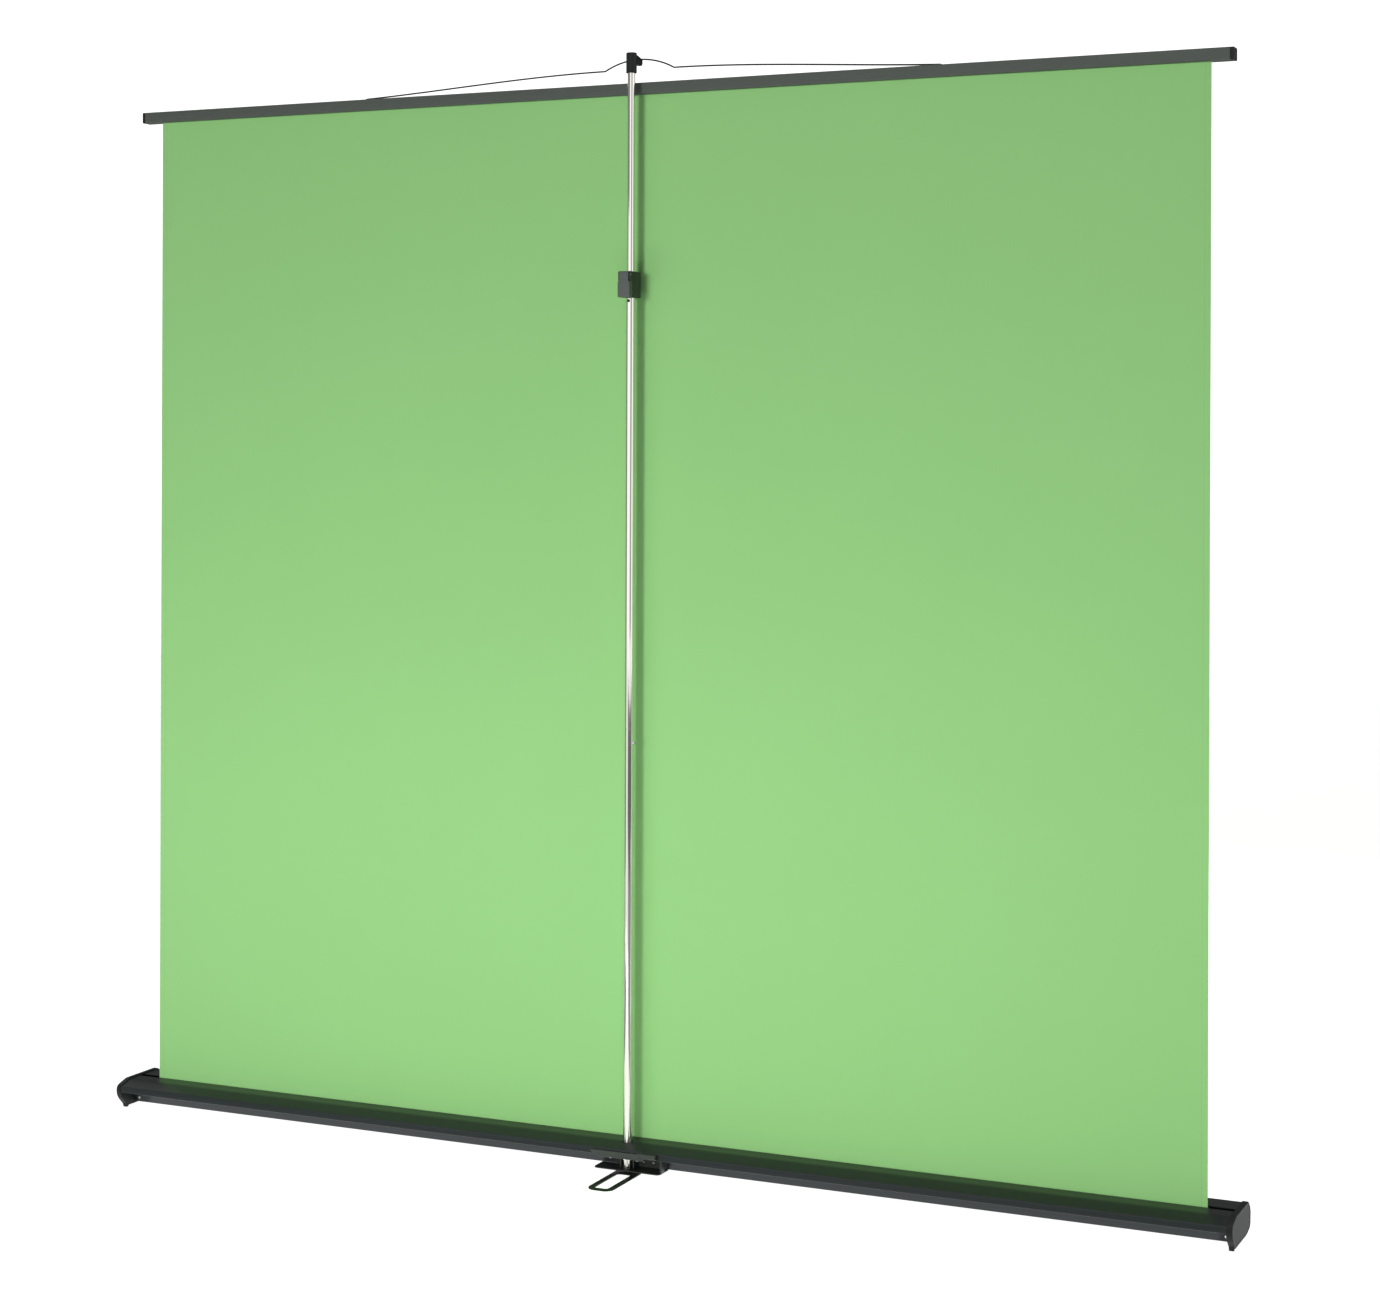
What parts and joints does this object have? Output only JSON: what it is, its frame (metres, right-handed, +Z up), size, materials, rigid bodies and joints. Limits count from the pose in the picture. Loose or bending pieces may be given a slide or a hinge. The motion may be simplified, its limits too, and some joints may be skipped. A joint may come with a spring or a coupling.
{
  "type": "chroma key screen",
  "caption": "Portable chroma key screen: a green sheet pulled up from a spring roller in a dark floor casing and held by a telescopic mast behind it",
  "frame": {"origin": "centre of the object's footprint, on the floor", "axes": "+X along the casing, +Z up; the mast and the loop foot are on the -Y side of the sheet"},
  "size_m": [2.1066, 0.2345, 1.928],
  "materials": {
    "casing": "dark grey anodised extrusion, satin",
    "bar": "grey anodised extrusion, satin",
    "cap_plastic": "black moulded plastic, fine grain",
    "zinc_steel": "zinc plated, plain",
    "polished_steel": "bright tube, polished",
    "black_wire": "black coated wire, semi-gloss",
    "black_foot": "black coated steel strip, semi-gloss",
    "green_fabric": "matt green close knit",
    "felt": "dark pile strip",
    "rubber": "matt",
    "roller_aluminium": "plain extruded",
    "nylon": "natural nylon"
  },
  "bodies": {
    "base": {"casing_extrusion": "casing", "end_cap_left": "cap_plastic", "end_cap_right": "cap_plastic", "cap_screw_left": "zinc_steel", "cap_screw_right": "zinc_steel", "slot_seal_front": "felt", "slot_seal_rear": "felt", "front_pad_left": "rubber", "front_pad_middle": "rubber", "front_pad_right": "rubber", "idler_pin": "zinc_steel", "spring_mandrel": "zinc_steel", "mast_bracket": "cap_plastic", "bracket_screw_1": "zinc_steel", "bracket_screw_2": "zinc_steel", "bracket_cover": "cap_plastic", "cover_screw_1": "zinc_steel", "cover_screw_2": "zinc_steel", "lower_tube": "polished_steel", "foot_plug": "cap_plastic", "joint_sleeve": "zinc_steel", "snap_spring": "zinc_steel", "middle_tube": "polished_steel", "clamp_body": "cap_plastic", "clamp_pin": "zinc_steel", "clamp_rivet": "black_wire", "guide_bush": "nylon", "foot_rivet": "black_foot", "foot_washer": "cap_plastic"},
    "roller": {"roller_tube": "roller_aluminium", "fabric_roll": "green_fabric", "idler_plug": "nylon", "drive_plug": "nylon", "spring_anchor": "nylon", "roller_spring": "zinc_steel"},
    "upper_mast": {"upper_tube": "polished_steel", "glide_plug": "cap_plastic", "head_hook": "cap_plastic"},
    "bar_assembly": {"top_bar": "bar", "bar_cap_left": "cap_plastic", "bar_cap_right": "cap_plastic", "keder_rod": "nylon", "wire_hanger": "black_wire", "wire_ferrule_left": "zinc_steel", "wire_ferrule_right": "zinc_steel", "fabric_sheet": "green_fabric"},
    "lever": {"clamp_lever": "cap_plastic"},
    "foot": {"loop_foot": "black_foot"},
    "button": {"snap_button": "zinc_steel"}
  },
  "joints": [
    {"name": "mast_slide", "type": "slide", "parent": "base", "child": "upper_mast", "axis": [0, 0, 1], "range_m": [-0.342, 0]},
    {"name": "bar_slide", "type": "slide", "parent": "base", "child": "bar_assembly", "axis": [0, 0, 1], "range_m": [-0.342, 0], "deforming": ["fabric_sheet"]},
    {"name": "roller_spin", "type": "hinge", "parent": "base", "child": "roller", "pos_m": [0, 0.0617, 0.02775], "axis": [1, 0, 0], "range_deg": [0, 1445]},
    {"name": "clamp_lever_hinge", "type": "hinge", "parent": "base", "child": "lever", "pos_m": [0, -0.00755, 1.54415], "axis": [1, 0, 0], "range_deg": [-95, 0]},
    {"name": "foot_swivel", "type": "hinge", "parent": "base", "child": "foot", "pos_m": [0.008, 0.0036, 0], "axis": [0, 0, 1], "range_deg": [-90, 0]},
    {"name": "snap_button_press", "type": "slide", "parent": "base", "child": "button", "axis": [1, 0, 0], "range_m": [-0.0038, 0], "stiffness_N_per_m": 800}
  ],
  "couplings": [
    {"joint": "bar_slide", "follows": "mast_slide", "ratio": 1},
    {"joint": "roller_spin", "follows": "mast_slide", "rad_per_m": -73.5}
  ]
}
